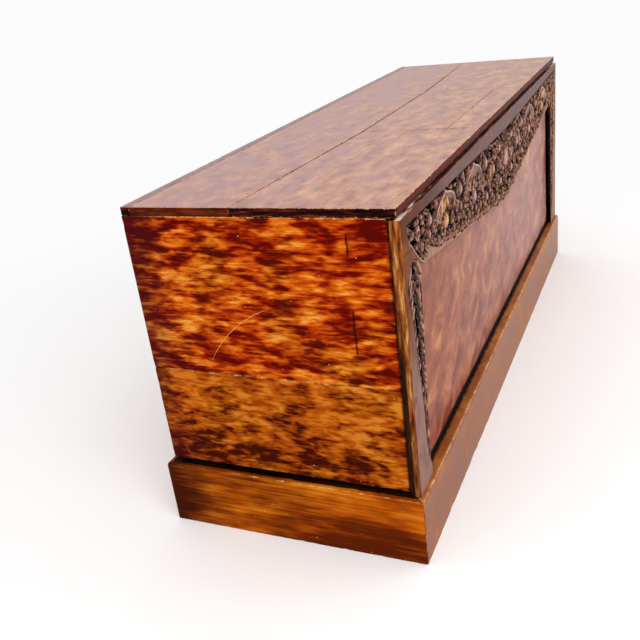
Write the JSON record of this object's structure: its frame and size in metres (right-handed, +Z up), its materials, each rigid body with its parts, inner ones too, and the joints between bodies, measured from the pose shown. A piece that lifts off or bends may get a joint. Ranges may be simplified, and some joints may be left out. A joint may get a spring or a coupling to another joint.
{
  "type": "carved wooden chest",
  "caption": "Long low wooden chest on a proud plinth, with a carved frieze and stiles over a plain front panel, and a hatch in its board top that swings up on wooden pintles.",
  "frame": {"origin": "on the floor under the centre of the plinth", "axes": "+X along the chest, -Y towards the carved front, +Z up"},
  "size_m": [1.802, 0.582, 0.7238],
  "materials": {
    "amber_lacquer": "glossy amber lacquer with dark mottling and grain",
    "mauve_lacquer": "satin pinkish brown lacquer with orange streaks",
    "carved_lacquer": "dark brown lacquer, worn pale on the high points",
    "tan_lacquer": "worn satin tan lacquer with small dark specks",
    "plain_wood": "bare sawn wood"
  },
  "bodies": {
    "chest": {"plinth_front_rail": "mauve_lacquer", "plinth_back_rail": "amber_lacquer", "plinth_left_rail": "amber_lacquer", "plinth_right_rail": "amber_lacquer", "plinth_front_ledger": "plain_wood", "plinth_back_ledger": "plain_wood", "plinth_left_ledger": "plain_wood", "plinth_right_ledger": "plain_wood", "plinth_bearer_1": "plain_wood", "plinth_bearer_2": "plain_wood", "plinth_corner_block_front_left": "plain_wood", "plinth_corner_block_front_right": "plain_wood", "plinth_corner_block_rear_left": "plain_wood", "plinth_corner_block_rear_right": "plain_wood", "left_end_lower_board": "amber_lacquer", "left_end_upper_board": "amber_lacquer", "left_end_spline": "plain_wood", "right_end_lower_board": "amber_lacquer", "right_end_upper_board": "amber_lacquer", "right_end_spline": "plain_wood", "back_lower_board": "amber_lacquer", "back_upper_board": "amber_lacquer", "back_spline": "plain_wood", "front_panel_lower_board": "mauve_lacquer", "front_panel_upper_board": "mauve_lacquer", "front_panel_spline": "plain_wood", "corner_post_front_left": "plain_wood", "corner_post_front_right": "plain_wood", "corner_post_rear_left": "plain_wood", "corner_post_rear_right": "plain_wood", "carved_frieze": "carved_lacquer", "carved_stile_left": "carved_lacquer", "carved_stile_right": "carved_lacquer", "bottom_batten_1": "plain_wood", "bottom_batten_2": "plain_wood", "bottom_batten_3": "plain_wood", "bottom_batten_4": "plain_wood", "bottom_board_front": "plain_wood", "bottom_board_middle": "plain_wood", "bottom_board_rear": "plain_wood", "top_rear_board": "tan_lacquer", "top_rear_strip": "tan_lacquer", "top_front_left_board": "tan_lacquer", "top_front_right_board": "tan_lacquer", "top_beam": "plain_wood", "top_rear_ledger": "plain_wood", "top_cross_bearer_left": "plain_wood", "top_cross_bearer_right": "plain_wood", "hatch_rest_left": "plain_wood", "hatch_rest_right": "plain_wood"},
    "hatch": {"hatch_front_board": "tan_lacquer", "hatch_rear_board": "tan_lacquer", "hatch_spline": "plain_wood", "hatch_batten_left": "plain_wood", "hatch_batten_right": "plain_wood", "hatch_pintle_left": "plain_wood", "hatch_pintle_right": "plain_wood"}
  },
  "joints": [
    {"name": "hatch_hinge", "type": "hinge", "parent": "chest", "child": "hatch", "pos_m": [0, -0.0135, 0.71505], "axis": [-1, 0, 0], "range_deg": [0, 135]}
  ]
}
